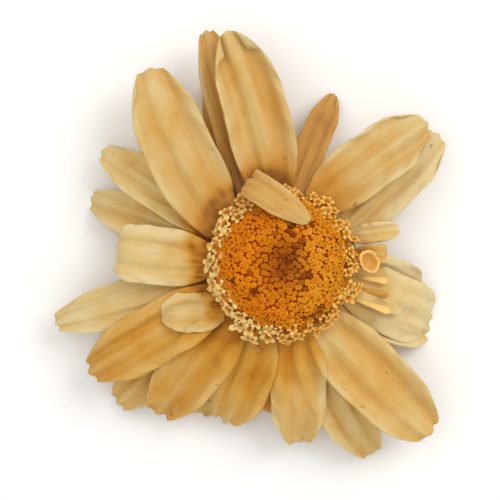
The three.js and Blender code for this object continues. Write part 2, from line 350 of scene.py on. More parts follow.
bract_finish = Finish("dry bracts")
bract_along = bract_finish.mark("along")
bract_edge = bract_finish.mark("edge")
bract_seed = bract_finish.mark("seed")
bract_fibres = bract_finish.grain(
    bract_finish.place(bract_edge * 9.0, bract_along * 1.6, bract_seed), 2.0, detail=4.0
)
bract_middle = bract_finish.ramp(bract_fibres, [
    (0.25, paint(110, 94, 38)), (0.5, paint(146, 126, 56)), (0.75, paint(180, 160, 88)),
])
bract_margin = bract_finish.ramp(bract_fibres, [
    (0.3, paint(176, 140, 78)), (0.7, paint(214, 188, 130)),
])
bract_colour = bract_finish.blend(bract_edge.between(0.5, 0.86), bract_middle, bract_margin)
bract_tip = bract_along.between(0.78, 1.0)
bract_colour = bract_finish.blend(bract_tip * 0.6, bract_colour, paint(150, 104, 54))
bract_colour = bract_finish.blend(bract_finish.mark("scar"), bract_colour, paint(126, 92, 50))
bract_finish.dress({
    "Base Color": bract_colour,
    "Roughness": 0.62 + 0.2 * bract_fibres,
    "Normal": bract_finish.bump(bract_fibres, 0.00004, 0.6),
    "Specular IOR Level": 0.3,
})
involucre.make("bracts_and_stem_scar", bract_finish, "involucre_and_stem")


# ---- Ray florets -------------------------------------------------------------------------------
# The petals: papery straps a tenth of a millimetre thick, dried cream at the tip and golden at the
# claw, with fine veins along them. They spring from the receptacle's rim in two layers, and the
# upper ones lie on the lower.

ROOT_RADIUS = 3.15
LAYER_HEIGHT = (2.42, 2.66)
SMALL_ROOT = (3.45, 2.55)
CLAW_LENGTH = 3.4

# In degrees and millimetres, anticlockwise from +X. at is the bearing of the petal's root, and root
# its radius and height where they aren't those of its layer, which is the lower one or, where layer
# is 1, the upper. lean turns the petal from that bearing, heading says where it points instead, and
# sweep bends it sideways. rise is its first slope and droop what the slope changes by. cup is how
# far each half of its section curls up, and tip_cup the same at the tip. curl is a further bend from
# the share curl_from of its length to the share curl_to. tip is its own rounding of the tip, and
# pleats how deep its lengthwise folds are. tone runs from 0, bleached cream, to 1, golden brown,
# claw adds to it over claw_length from the root, and faded greys it.
PETALS = (
    {"at": 22, "lean": -12, "sweep": -4, "length": 2.4, "width": 1.0, "rise": 26, "droop": -30,
     "cup": 22, "root": SMALL_ROOT, "tip": 0.3, "tone": 0.3},
    {"at": 7, "lean": -4, "length": 2.2, "width": 0.9, "rise": 34, "droop": 0,
     "cup": 12, "root": SMALL_ROOT, "curl": -150, "curl_from": 0.3, "tone": 0.55},
    {"at": -4, "lean": -11, "sweep": -9, "length": 4.8, "width": 2.3, "rise": 2, "droop": -74,
     "cup": 20, "tone": -0.2},
    {"at": -17, "lean": -6, "sweep": -2, "length": 5.4, "width": 3.0, "rise": 2, "droop": -64,
     "cup": -14, "layer": 1, "tip": 0.25, "tone": 0.1},
    {"at": -22, "lean": -2, "sweep": 6, "length": 2.7, "width": 0.7, "rise": 16, "droop": -42,
     "cup": 30, "root": SMALL_ROOT, "tone": 0.25},
    {"at": -28, "lean": -3, "sweep": 24, "length": 5.5, "width": 2.3, "rise": -2, "droop": -52,
     "cup": 18, "tip": 0.3, "tone": 0.2},
    {"at": -55, "lean": 5, "sweep": 9, "length": 7.7, "width": 3.4, "rise": 10, "droop": -32,
     "cup": 22, "layer": 1, "tone": 0.44, "claw": -0.1, "pleats": 0.05},
    {"at": -68, "lean": -2, "sweep": 16, "length": 7.3, "width": 2.6, "rise": 5, "droop": -36,
     "cup": 18, "tone": 0.32, "claw": 0.15},
    {"at": -78, "lean": -8, "sweep": -4, "length": 5.8, "width": 2.6, "rise": 8, "droop": -46,
     "cup": 20, "layer": 1, "tone": 0.4, "claw": 0.5},
    {"at": -94, "lean": -2, "sweep": 2, "length": 5.0, "width": 2.8, "rise": 3, "droop": -68,
     "cup": 16, "tone": 0.8, "claw": 0.1},
    {"at": -108, "lean": -1, "sweep": -4, "length": 5.3, "width": 2.9, "rise": 8, "droop": -58,
     "cup": 24, "layer": 1, "tone": 0.55, "claw": 0.1, "pleats": 0.05},
    {"at": -119, "lean": 0, "sweep": -2, "length": 5.8, "width": 2.6, "rise": 3, "droop": -58,
     "cup": 16, "tone": 0.5},
    {"at": -130, "lean": 0, "sweep": 2, "length": 6.5, "width": 2.9, "rise": 8, "droop": -46,
     "cup": 22, "layer": 1, "tone": 0.6, "claw": 0.5, "pleats": 0.1},
    {"at": -141, "lean": 2, "sweep": 0, "length": 7.6, "width": 2.6, "rise": 4, "droop": -40,
     "cup": 20, "tone": 0.5},
    {"at": -151, "lean": 0, "sweep": 2, "length": 7.4, "width": 2.9, "rise": 9, "droop": -34,
     "cup": 24, "layer": 1, "tone": 0.62, "claw": 0.5, "pleats": 0.09},
    {"at": -141, "lean": -36, "sweep": 0, "length": 3.0, "width": 1.9, "rise": 22, "droop": -40,
     "cup": 26, "root": SMALL_ROOT, "tone": 0.3},
    # Painted shade: this petal's dark claw, like those of the petals at 163 and 150, stands for the
    # shadowed gap beside the rim florets.
    {"at": -168, "lean": 3, "sweep": 2, "length": 8.1, "width": 2.2, "rise": 3, "droop": -22,
     "cup": 16, "tone": 0.2, "claw": 0.9, "claw_length": 2.8},
    {"at": 178, "lean": -3, "sweep": -4, "length": 5.6, "width": 2.7, "rise": 14, "droop": -14,
     "cup": 18, "tip_cup": -30, "layer": 1, "curl": -120, "curl_from": 0.64, "tone": 0.22},
    # Painted shade: the dark claws of these two stand for the shadowed gap beside the rim florets.
    {"at": 163, "lean": 0, "sweep": -6, "length": 7.1, "width": 2.1, "rise": 2, "droop": -46,
     "cup": 18, "tone": 0.3, "claw": 0.9, "claw_length": 2.8},
    {"at": 150, "lean": -4, "sweep": 2, "length": 7.0, "width": 2.2, "rise": 5, "droop": -26,
     "cup": 18, "tone": 0.28, "claw": 1.0, "claw_length": 2.8},
    {"at": 148, "lean": -24, "sweep": -18, "length": 8.4, "width": 3.3, "rise": 10, "droop": -26,
     "cup": 24, "layer": 1, "tone": 0.38, "faded": 0.2, "pleats": 0.06},
    # Painted shade: the dark greyed tone of these two lower petals, and the long dark claw of the
    # second, stand for the shade between the petals at 148 and 97, which lie over them.
    {"at": 124, "lean": -20, "sweep": 0, "length": 7.0, "width": 1.7, "rise": -4, "droop": -34,
     "cup": 16, "tone": 1.0, "faded": 0.6},
    {"at": 114, "lean": -11, "sweep": 5, "length": 8.5, "width": 2.1, "rise": 6, "droop": -20,
     "cup": 20, "tone": 0.6, "faded": 0.6, "claw": 0.7, "claw_length": 7.0, "pleats": 0.05},
    {"at": 97, "lean": 0, "sweep": 18, "length": 8.2, "width": 3.2, "rise": 14, "droop": -28,
     "cup": 24, "layer": 1, "tip": 0.86, "tone": 0.42, "faded": 0.2, "claw": 0.9,
     "claw_length": 2.4, "pleats": 0.13},
    {"at": 81, "lean": -12, "sweep": -4, "length": 6.1, "width": 1.5, "rise": 0, "droop": -46,
     "cup": 16, "tip": 0.9, "tone": 1.05, "faded": 0.6, "claw": -0.3},
    {"at": 60, "lean": -20, "sweep": -8, "length": 6.6, "width": 2.9, "rise": 12, "droop": -30,
     "cup": 22, "layer": 1, "tone": 0.28, "faded": 0.2, "claw": 0.55, "pleats": 0.07},
    {"at": 28, "lean": 16, "sweep": 0, "length": 6.7, "width": 2.6, "rise": 7, "droop": -28,
     "cup": 20, "tone": 0.12, "faded": 0.15},
)
FOLDED_PETAL = {
    "at": 110, "root": (3.85, 2.5), "heading": -33, "length": 5.8, "width": 1.4, "rise": 98,
    "cup": -14, "curl": -108, "curl_from": 0.24, "curl_to": 0.68, "tone": 0.55, "faded": 0.35,
}


def smoothstep(value):
    value = min(max(value, 0.0), 1.0)
    return value * value * (3 - 2 * value)


LINE_STEPS = 768


def middle_line(petal):
    """Along a petal's under face: the place, the sideways direction and the upward normal."""
    radius, height = petal.get("root", (ROOT_RADIUS, LAYER_HEIGHT[petal.get("layer", 0)]))
    place = polar(math.radians(petal["at"]), radius, height)
    root_heading = petal.get("heading", petal["at"] + petal.get("lean", 0))
    curl_from = petal.get("curl_from", 0)
    curl_to = petal.get("curl_to", 1)
    line = []
    for step in range(LINE_STEPS + 1):
        share = step / LINE_STEPS
        heading = math.radians(root_heading + petal.get("sweep", 0) * share)
        bend = petal.get("curl", 0) * smoothstep((share - curl_from) / (curl_to - curl_from))
        slope = math.radians(petal["rise"] + petal.get("droop", 0) * share + bend)
        along = polar(heading, math.cos(slope), math.sin(slope))
        side = polar(heading + math.pi / 2, 1, 0)
        line.append((place.copy(), side, along.cross(side)))
        place += along * (petal["length"] / LINE_STEPS)
    return line


CLAW_SHARE = 0.52
FULL_FROM = 0.42
FULL_TO = 0.64
TIP_ROUNDING = 0.6
TIP_POWER = 3.6


def petal_width(petal, share):
    swell = CLAW_SHARE + (1 - CLAW_SHARE) * math.sin(min(share / FULL_FROM, 1) * math.pi / 2)
    taper = max(0, (share - FULL_TO) / (1 - FULL_TO))
    return petal["width"] * swell * math.sqrt(1 - petal.get("tip", TIP_ROUNDING) * taper ** TIP_POWER)


petal_draw = random.Random(23)
BROAD_WIDTH = 2.6


def draw_habit(petal):
    """What is a petal's own: its seed, teeth, grooves, waves, curled margin, twist and pleats."""
    draw = petal_draw.uniform
    broad = min(petal["width"] / BROAD_WIDTH, 1.0)
    return {
        "seed": draw(0, 90),
        "tooth": draw(0.003, 0.012),
        "tooth_shift": draw(-0.6, 0.6),
        "grooves": (draw(-0.42, -0.26), draw(0.26, 0.42)),
        "groove_depths": (draw(0.04, 0.15) * broad, draw(0.04, 0.15) * broad),
        "wave": draw(0.14, 0.28),
        "margin_curl": draw(-0.1, 0.32),
        "twist": math.radians(draw(-8, 8)),
        "pleat_shift": draw(-0.9, 0.9),
        "pleat_turns": math.pi * draw(1.9, 3.1),
        "broad": broad,
    }


BUCKLE = 0.2
RIPPLE = 0.03
CRINKLE = 0.018
PLEAT_DEPTH = 0.025
PLEAT_MARK = 3
GROOVE_WIDTH = 0.14
GROOVE_MARK = 5
FULL_RELIEF_WIDTH = 1.8


def relief(petal, habit, width, share, across):
    """How far a petal's section swells up at a point, and how deep it lies in a crease, painted as
    shade.
    """
    def uneven(lengthwise, sideways, kind):
        """Noise that changes this often along the petal and across it."""
        return noise.noise(Vector((share * lengthwise, across * sideways, habit["seed"] + kind)))

    swell = habit["wave"] * uneven(2.6, 0.9, 0)
    swell += habit["wave"] * abs(across) ** 3 * uneven(8, 1, 9)
    swell += BUCKLE * habit["broad"] * uneven(1.8, 2.6, 50)
    swell += RIPPLE * uneven(3.5, 7, 20)
    swell += CRINKLE * uneven(14, 10, 30)
    swell += habit["margin_curl"] * abs(across) ** 5 * share * (1 - share ** 5)
    pleat_depth = petal.get("pleats", PLEAT_DEPTH) * (1 + uneven(2.2, 1, 60))
    pleat = math.cos(habit["pleat_turns"] * across + habit["pleat_shift"])
    swell += pleat_depth * pleat
    fold = PLEAT_MARK * pleat_depth * (1 - pleat)
    for groove, depth in zip(habit["grooves"], habit["groove_depths"]):
        nearness = math.exp(-((across - groove) / GROOVE_WIDTH) ** 2)
        swell -= depth * nearness
        fold += GROOVE_MARK * depth * nearness
    return swell * min(width / FULL_RELIEF_WIDTH, 1.0), min(fold, 1.0)


# Painted shade: on the left of the head the petals' claws are darkened where they lie in the shadowed
# gap beside the rim florets. These give its side, how far out it reaches, how ragged and patchy it is,
# and the height above which nothing is shaded.
DARK_SIDE = math.radians(155)
DARK_SIDE_FROM = 0.2
DARK_SIDE_FADE = 0.37
DARK_RADIUS = 4.05
DARK_BULGE = 0.45
DARK_BULGE_SIDE = math.radians(110)
DARK_WANDER = 0.4
DARK_WANDERS = 5
DARK_FULL = 0.25
DARK_FADE = 0.6
DARK_TOP = 3.6
DARK_PATCHES = 2.2


def rim_shade(point):
    """How much painted shade a claw gets where it lies in the shadowed gap beside the rim florets, from
    0 to 1.
    """
    if point.z > DARK_TOP:
        return 0.0
    bearing = math.atan2(point.y, point.x)
    edge = DARK_RADIUS + DARK_BULGE * max(math.cos(bearing - DARK_BULGE_SIDE), 0.0)
    edge += DARK_WANDER * noise.noise(Vector((bearing * DARK_WANDERS, 0.0, 4.0)))
    patchy = noise.noise(Vector((point.x * DARK_PATCHES, point.y * DARK_PATCHES, 8.0)))
    near = 1 - smoothstep((point.xy.length - edge + DARK_FULL) / DARK_FADE)
    on_dark_side = smoothstep((math.cos(bearing - DARK_SIDE) - DARK_SIDE_FROM) / DARK_SIDE_FADE)
    return near * on_dark_side * min(max(0.85 + 0.5 * patchy, 0.0), 1.0)


PETAL_ALONG = 64
PETAL_ACROSS = 36
PETAL_THICKNESS = 0.1
MARGIN_SHARE = 0.25
TIP_THINNING = 0.6
ROOT_CUP = 0.4
FLATTEST_CUP = 0.001
TEETH = 3
TIP_BOW = 0.14
TIP_RAGGEDNESS = 0.008
CALM_ROOT = 0.22
SMALL_ROOT_OFFSET = 1.6
CLAW_TONE = 0.3
STAIN = Vector((-0.6, -5.4))
STAIN_RADIUS = 1.35


def grow_petal(petal):
    """The petal's under and upper points row by row, with the marks that its finish reads."""
    line = middle_line(petal)
    habit = draw_habit(petal)
    small = "root" in petal
    tooth = 0.0 if small or "curl" in petal else habit["tooth"]
    tip_cup = petal.get("tip_cup", petal["cup"])
    under, over, shaded = [], [], []
    marks = {"along": [], "along_mm": [], "across_mm": [], "edge": [], "fold": [], "stain": []}
    for i in range(PETAL_ALONG + 1):
        share = i / PETAL_ALONG
        cup = petal["cup"] + (tip_cup - petal["cup"]) * smoothstep(share)
        cup = math.radians(cup) * (ROOT_CUP + (1 - ROOT_CUP) * share)
        if abs(cup) < FLATTEST_CUP:
            cup = FLATTEST_CUP
        width = petal_width(petal, share)
        fade = smoothstep(share / CALM_ROOT)
        lean = habit["twist"] * share
        for j in range(PETAL_ACROSS + 1):
            across = -1 + 2 * j / PETAL_ACROSS
            notch = tooth * (0.5 - 0.5 * math.cos(TEETH * math.pi * across + habit["tooth_shift"]))
            ragged = TIP_RAGGEDNESS * noise.noise(Vector((across * 5, habit["seed"], 3.0)))
            reach = share * (1 - TIP_BOW * across ** 4 - notch + ragged - TIP_RAGGEDNESS)
            place, side, normal = line[round(reach * LINE_STEPS)]
            side, normal = (
                side * math.cos(lean) + normal * math.sin(lean),
                normal * math.cos(lean) - side * math.sin(lean),
            )
            turn = across * cup
            bend_radius = width / 2 / cup
            up = normal * math.cos(turn) - side * math.sin(turn)
            swell, fold = relief(petal, habit, width, share, across)
            point = place + side * (bend_radius * math.sin(turn))
            point += normal * (bend_radius * (1 - math.cos(turn))) + up * (swell * fade)
            point.z = max(point.z, 0.0)
            body = MARGIN_SHARE + (1 - MARGIN_SHARE) * math.sqrt(1 - across ** 8)
            thick = PETAL_THICKNESS * body * (1 - TIP_THINNING * share ** 12)
            under.append(point)
            over.append(point + up * thick)
            shaded.append(rim_shade(point))
            marks["along"].append(share)
            marks["along_mm"].append(share * petal["length"] + (SMALL_ROOT_OFFSET if small else 0.0))
            marks["across_mm"].append(across * width / 2)
            marks["edge"].append(abs(across))
            marks["fold"].append(fold * fade)
            off_stain = (point.xy - STAIN).length / STAIN_RADIUS
            marks["stain"].append(math.exp(-off_stain ** 2))
    marks = {mark: values * 2 for mark, values in marks.items()}
    marks["shaded"] = [0.0] * len(under) + shaded
    marks["seed"] = habit["seed"]
    marks["tone"] = petal["tone"]
    marks["faded"] = petal.get("faded", 0.0)
    marks["claw"] = petal.get("claw", CLAW_TONE)
    claw_length = petal.get("claw_length", CLAW_LENGTH)
    marks["claw_mm"] = [reach * CLAW_LENGTH / claw_length for reach in marks["along_mm"]]
    return under, over, marks


ABOVE_ALL = 9.0
CLEARANCE = 0.05
HIGHEST_LIFT = 0.7
STIFF_WIDTH = 1.2
SMOOTHING = 16


def lay_on(below, petal, under, over):
    """Lifts a petal off the ones it lies on, and smooths the lift so that it bends over them."""
    tree = BVHTree.FromPolygons(below.points, below.faces)
    columns = PETAL_ACROSS + 1
    flat_rows = round(petal.get("curl_from", 1.0) * PETAL_ALONG)
    lifts = []
    for index, point in enumerate(under):
        if index // columns > flat_rows:
            lifts.append(lifts[index - columns])
            continue
        hit = tree.ray_cast(Vector((point.x, point.y, ABOVE_ALL)), Vector((0, 0, -1)))[0]
        lifts.append(min(max(hit.z + CLEARANCE - point.z, 0.0), HIGHEST_LIFT) if hit else 0.0)
    if petal["width"] < STIFF_WIDTH:
        rows = [lifts[row * columns:(row + 1) * columns] for row in range(PETAL_ALONG + 1)]
        lifts = [max(row) for row in rows for _ in row]
    for _ in range(round(SMOOTHING / petal["width"])):
        calmer = []
        for index, lift in enumerate(lifts):
            row, column = divmod(index, columns)
            near = [
                lifts[r * columns + c]
                for r in (row - 1, row, row + 1)
                for c in (column - 1, column, column + 1)
                if 0 <= r <= PETAL_ALONG and 0 <= c < columns
            ]
            calmer.append(max(lift, sum(near) / len(near)))
        lifts = calmer
    rise = [Vector((0, 0, lift)) for lift in lifts]
    return [p + r for p, r in zip(under, rise)], [p + r for p, r in zip(over, rise)]


PETAL_MARKS = (
    "along", "along_mm", "across_mm", "edge", "fold", "stain", "seed", "tone", "faded", "shaded",
    "claw", "claw_mm",
)
lower_petals = Pile(*PETAL_MARKS)
upper_petals = Pile(*PETAL_MARKS)
all_petals = Pile()
petal_faces = slab_faces(PETAL_ALONG + 1, PETAL_ACROSS + 1)
for petal in sorted(PETALS, key=lambda petal: ("root" in petal, petal.get("layer", 0))):
    petal_under, petal_over, petal_marks = grow_petal(petal)
    if all_petals.points:
        petal_under, petal_over = lay_on(all_petals, petal, petal_under, petal_over)
    on_top = "root" in petal or "layer" in petal
    (upper_petals if on_top else lower_petals).add(petal_under + petal_over, petal_faces, **petal_marks)
    all_petals.add(petal_under + petal_over, petal_faces)
petal_under, petal_over, petal_marks = grow_petal(FOLDED_PETAL)
upper_petals.add(petal_under + petal_over, petal_faces, **petal_marks)

petal_finish = Finish("dry petals")
along = petal_finish.mark("along")
along_mm = petal_finish.mark("along_mm")
across_mm = petal_finish.mark("across_mm")
seed = petal_finish.mark("seed")
veins = petal_finish.grain(
    petal_finish.place(across_mm * 4.5, along_mm * 0.25, seed), 1.0, detail=3.0
)
fine_veins = petal_finish.grain(
    petal_finish.place(across_mm * 15.0, along_mm * 0.9, seed), 1.0, detail=2.0
)
blotches = petal_finish.grain(petal_finish.place(across_mm, along_mm * 0.7, seed), 0.9, detail=4.0)
specks = petal_finish.grain(petal_finish.place(across_mm, along_mm * 0.8, seed + 40), 2.6, detail=1.0)

# Age is 0 where a petal is bleached cream, 1 where it is golden brown, and OLDEST at the ramp's end.
# It also carries painted shade: in the pleats' valleys and grooves, and on the claws in the shadowed
# gap beside the rim florets, where it is drawn towards SHADED_AGE.
OLDEST = 1.6
SHADED_AGE = 1.3
age = petal_finish.mark("tone")
age = age + (blotches - 0.5) * 0.8 + (veins - 0.5) * 0.3 - (fine_veins - 0.5) * 0.14
not_claw = petal_finish.mark("claw_mm").between(0.4, CLAW_LENGTH)
age = age + (1 - not_claw) * petal_finish.mark("claw") - along.between(0.55, 1.0) * 0.12
edge = petal_finish.mark("edge")
age = age + edge.between(0.96, 1.0) * 0.2 - edge.between(0.6, 0.95) * 0.16
# Painted shade in the pleats' valleys and the grooves.
age = age + petal_finish.mark("fold") * 0.14 + petal_finish.mark("stain") * 0.4 - 0.02
# Painted shadow on the claws in the gap beside the rim florets, streaked along the veins.
shade = (petal_finish.mark("shaded") * (veins * 1.4 + fine_veins * 0.4)).clipped()
age = age + (SHADED_AGE - age) * shade * 0.92
petal_colour = petal_finish.ramp(age * (1 / OLDEST), [
    (0.0, paint(221, 200, 150)), (0.16, paint(215, 184, 119)), (0.31, paint(209, 165, 89)),
    (0.47, paint(205, 150, 58)), (0.62, paint(190, 128, 34)), (0.78, paint(142, 82, 20)),
    (0.94, paint(104, 62, 16)),
])
petal_colour = petal_finish.blend(
    petal_finish.mark("faded") * 0.7, petal_colour, paint(188, 150, 98)
)
petal_colour = petal_finish.blend(specks.between(0.74, 0.8) * 0.5, petal_colour, paint(138, 86, 30))
petal_finish.dress({
    "Base Color": petal_colour,
    "Roughness": 0.6 + 0.2 * fine_veins,
    "Normal": petal_finish.bump(veins * 0.5 + fine_veins * 0.5, 0.00004, 0.6),
    "Specular IOR Level": 0.15,
    "Subsurface Weight": 0.15,
    "Subsurface Radius": (1.0, 0.6, 0.25),
    "Subsurface Scale": 0.0002,
})
lower_petals.make("lower_petals", petal_finish, "ray_florets")
upper_petals.make("upper_petals", petal_finish, "ray_florets")


# ---- Rim florets -------------------------------------------------------------------------------
# The outermost disc florets opened first. Each is a small pale gold tube that flares into five
# lobes. They lean outwards in three rows, over two rows that never opened and hide the claws. A
# few have dropped onto the petals.

LOBES = 5
ROUND = 20

# The rings of a floret, outside from the foot up and inside down again: height, radius, how deep
# the five lobes cut, and 1 where the ring lies inside the tube. First an open one, then one that
# has lost its lobes, and one that is shut.
OPEN_RINGS = (
    (-2.2, 0.3, 0.0, 0), (-0.4, 0.36, 0.0, 0), (0.9, 0.5, 0.06, 0), (1.45, 0.64, 0.18, 0),
    (1.75, 0.8, 0.3, 0), (1.8, 0.92, 0.4, 0), (1.88, 0.86, 0.38, 0), (1.9, 0.66, 0.26, 0),
    (1.62, 0.46, 0.12, 1), (1.1, 0.32, 0.04, 1), (0.6, 0.22, 0.0, 1),
)
CUP_RINGS = (
    (-0.9, 0.5, 0.0, 0), (-0.2, 0.9, 0.01, 0), (0.5, 1.25, 0.02, 0), (0.9, 1.4, 0.03, 0),
    (1.0, 1.3, 0.04, 0), (0.8, 1.0, 0.03, 1), (0.3, 0.8, 0.02, 1), (-0.1, 0.4, 0.0, 1),
)
SHUT_RINGS = (
    (-2.4, 0.2, 0.0, 0), (-0.8, 0.3, 0.05, 0), (0.6, 0.38, 0.1, 0), (1.5, 0.44, 0.25, 0),
    (1.9, 0.2, 0.3, 0),
)


LOBE_DROP = 0.35
LOBE_STUNTING = 1.6
LOBE_NODDING = 2.2


def floret_shape(rings, wobble, draw):
    """The points, faces and inside marks of one small floret round +Z."""
    points = [Vector((0, 0, rings[0][0]))]
    inside = [0.0]
    shift = draw.uniform(0, math.tau)
    nodding = LOBE_NODDING * wobble
    lobe_sizes = [draw.uniform(1 - LOBE_STUNTING * wobble, 1 + wobble) for _ in range(LOBES)]
    lobe_drops = [draw.uniform(-nodding, nodding) for _ in range(LOBES)]
    for height, radius, cut, within in rings:
        for k in range(ROUND):
            angle = math.tau * k / ROUND
            number = round(angle / math.tau * LOBES) % LOBES
            lobe = abs(math.cos(LOBES * angle / 2)) * lobe_sizes[number]
            reach = radius * (1 - cut + 2 * cut * lobe) * (1 + wobble * math.sin(2 * angle + shift))
            drop = cut * lobe * (LOBE_DROP + lobe_drops[number])
            points.append(polar(angle, reach, height - drop))
            inside.append(float(within))
    points.append(Vector((0, 0, rings[-1][0])))
    inside.append(float(rings[-1][3]))
    return points, ringed_faces(len(rings), ROUND), inside


def stand(points, foot, lean, bearing, spin, size):
    """Scales a floret's points, leans it outwards and stands it on its foot."""
    turn = Matrix.Rotation(bearing, 4, "Z") @ Matrix.Rotation(lean, 4, "Y")
    turn = turn @ Matrix.Rotation(spin, 4, "Z")
    place = Matrix.Translation(foot) @ turn @ Matrix.Scale(size, 4)
    return [place @ point for point in points]


# lean is in degrees off upright, and drawn_in is how far a row steps back on the left.
RIM_ROWS = (
    {"count": 48, "radius": 2.9, "height": 2.78, "lean": 58, "size": 0.3, "drawn_in": 0.0,
     "rings": SHUT_RINGS},
    {"count": 46, "radius": 2.98, "height": 3.06, "lean": 50, "size": 0.31, "drawn_in": 0.0,
     "rings": SHUT_RINGS},
    {"count": 30, "radius": 3.28, "height": 3.36, "lean": 36, "size": 0.31, "drawn_in": 0.46,
     "rings": OPEN_RINGS},
    {"count": 29, "radius": 3.1, "height": 3.62, "lean": 26, "size": 0.29, "drawn_in": 0.36,
     "rings": OPEN_RINGS},
    {"count": 27, "radius": 2.9, "height": 3.84, "lean": 14, "size": 0.26, "drawn_in": 0.24,
     "rings": OPEN_RINGS},
)
DRAWN_IN_SIDE = math.radians(192)
PALE_SIDE = math.radians(198)
LOBE_TOP = 1.8

rim_draw = random.Random(5)
rim_florets = Pile("tip", "inside", "gold")
for row_number, row in enumerate(RIM_ROWS):
    for number in range(row["count"]):
        bearing = math.tau * number / row["count"] + row_number + rim_draw.uniform(-0.07, 0.07)
        pale = smoothstep(1.1 * math.cos(bearing - PALE_SIDE) + rim_draw.uniform(-0.1, 0.35))
        lean = math.radians(row["lean"] + rim_draw.uniform(-14, 18))
        size = row["size"] * (0.78 + 0.27 * pale) * rim_draw.uniform(0.8, 1.2)
        points, faces, inside = floret_shape(row["rings"], rim_draw.uniform(0.15, 0.35), rim_draw)
        tips = [min(max(point.z / LOBE_TOP, 0.0), 1.0) for point in points]
        on_drawn_side = smoothstep((math.cos(bearing - DRAWN_IN_SIDE) - 0.6) / 0.4)
        radius = row["radius"] - row["drawn_in"] * on_drawn_side + rim_draw.uniform(-0.08, 0.06)
        foot = polar(bearing, radius, row["height"])
        placed = stand(points, foot, lean, bearing, rim_draw.uniform(0, math.tau), size)
        gold = 1 - pale
        if row["rings"] is SHUT_RINGS:
            gold = 0.75 + 0.2 * pale
        rim_florets.add(placed, faces, tip=tips, inside=inside, gold=gold)

# The dropped ones. One still stands with its mouth up, and the others lie on their side. above is
# the height of the foot over the petal, in floret sizes, and gold past 1 is brown. The two brown
# ones are painted shade: dark florets laid where a gap beside the petals lies in shadow.
FALLEN = (
    {"at": (3.98, 0.12), "heading": 4, "lean": 14, "size": 0.36, "above": 0.95, "gold": 0.1,
     "rings": CUP_RINGS},
    {"at": (4.3, -0.72), "heading": -8, "lean": 86, "size": 0.36, "above": 0.4, "gold": 0.0,
     "rings": SHUT_RINGS},
    {"at": (4.3, -1.3), "heading": -12, "lean": 88, "size": 0.38, "above": 0.4, "gold": 1.4,
     "rings": SHUT_RINGS},
    {"at": (4.3, -1.95), "heading": -20, "lean": 87, "size": 0.42, "above": 0.4, "gold": 0.0,
     "rings": SHUT_RINGS},
    {"at": (-1.25, -3.75), "heading": -50, "lean": 84, "size": 0.24, "above": 0.4, "gold": 1.5,
     "rings": SHUT_RINGS},
)
FALLEN_WOBBLE = 0.12
FALLEN_TIP = 0.9
petal_tree = BVHTree.FromPolygons(all_petals.points, all_petals.faces)
for fallen in FALLEN:
    x, y = fallen["at"]
    petal_top = petal_tree.ray_cast(Vector((x, y, ABOVE_ALL)), Vector((0, 0, -1)))[0].z
    points, faces, inside = floret_shape(fallen["rings"], FALLEN_WOBBLE, rim_draw)
    foot = Vector((x, y, petal_top + fallen["above"] * fallen["size"]))
    lean = math.radians(fallen["lean"])
    bearing = math.radians(fallen["heading"])
    placed = stand(points, foot, lean, bearing, rim_draw.uniform(0, math.tau), fallen["size"])
    rim_florets.add(placed, faces, tip=FALLEN_TIP, inside=inside, gold=fallen["gold"])

open_finish = Finish("open florets")
floret_tip = open_finish.mark("tip")
open_grain = open_finish.grain(
    open_finish.node("ShaderNodeTexCoord", {}, {}, "Object"), 4200.0, detail=3.0
)
open_colour = open_finish.ramp(floret_tip, [
    (0.0, paint(226, 160, 62)), (0.5, paint(236, 182, 86)), (0.8, paint(242, 198, 106)),
    (1.0, paint(244, 210, 132)),
])
gold = open_finish.mark("gold")
open_colour = open_finish.blend(gold.clipped() * 0.85, open_colour, paint(242, 180, 74))
open_colour = open_finish.blend((gold - 1.0).clipped(), open_colour, paint(120, 62, 10))
open_colour = open_finish.blend(open_finish.mark("inside") * 0.6, open_colour, paint(200, 132, 40))
open_mottle = open_grain.between(0.45, 0.8) * 0.35
open_finish.dress({
    "Base Color": open_finish.blend(open_mottle, open_colour, paint(190, 128, 52)),
    "Roughness": 0.6 + 0.2 * open_grain,
    "Normal": open_finish.bump(open_grain, 0.00003, 0.5),
    "Specular IOR Level": 0.3,
    "Subsurface Weight": 0.2,
    "Subsurface Radius": (1.0, 0.55, 0.2),
    "Subsurface Scale": 0.0002,
})
rim_florets.make("open_rim_florets", open_finish, "rim_florets")


# ---- Disc florets ------------------------------------------------------------------------------
# The orange dome is packed with tiny tubular florets in spirals by the golden angle. Those near
# the rim have opened, the rest are closed knobs cleft in five, and the middle ones have withered
# dark and sunk in.

DISC_RADIUS = 2.88
DISC_SHOULDER = 3.5
DISC_TOP = 4.95
DISC_BOTTOM = 2.6
DIMPLE_RADIUS = 0.85
DIMPLE_DEPTH = 0.42
DOME_STEPS = 20
DOME_SIDES = 72

CLOSED_RINGS = (
    (-1.6, 0.62, 0.0, 0), (0.0, 0.78, 0.02, 0), (0.7, 0.92, 0.06, 0), (1.15, 0.86, 0.12, 0),
    (1.42, 0.6, 0.2, 0), (1.5, 0.34, 0.26, 0), (1.4, 0.14, 0.3, 1),
)
HALF_OPEN_RINGS = (
    (-1.6, 0.55, 0.0, 0), (0.0, 0.7, 0.02, 0), (0.9, 0.8, 0.1, 0), (1.35, 0.95, 0.24, 0),
    (1.5, 0.98, 0.32, 0), (1.52, 0.8, 0.3, 0), (1.35, 0.5, 0.16, 1), (0.9, 0.3, 0.04, 1),
)


def dome_height(radius):
    share = min(radius / DISC_RADIUS, 1.0)
    dimple = DIMPLE_DEPTH * math.exp(-(radius / DIMPLE_RADIUS) ** 2)
    return DISC_SHOULDER + (DISC_TOP - DISC_SHOULDER) * math.sqrt(1 - share ** 2.6) - dimple


SMALL_STEP = 0.01
AREA_STEPS = 400


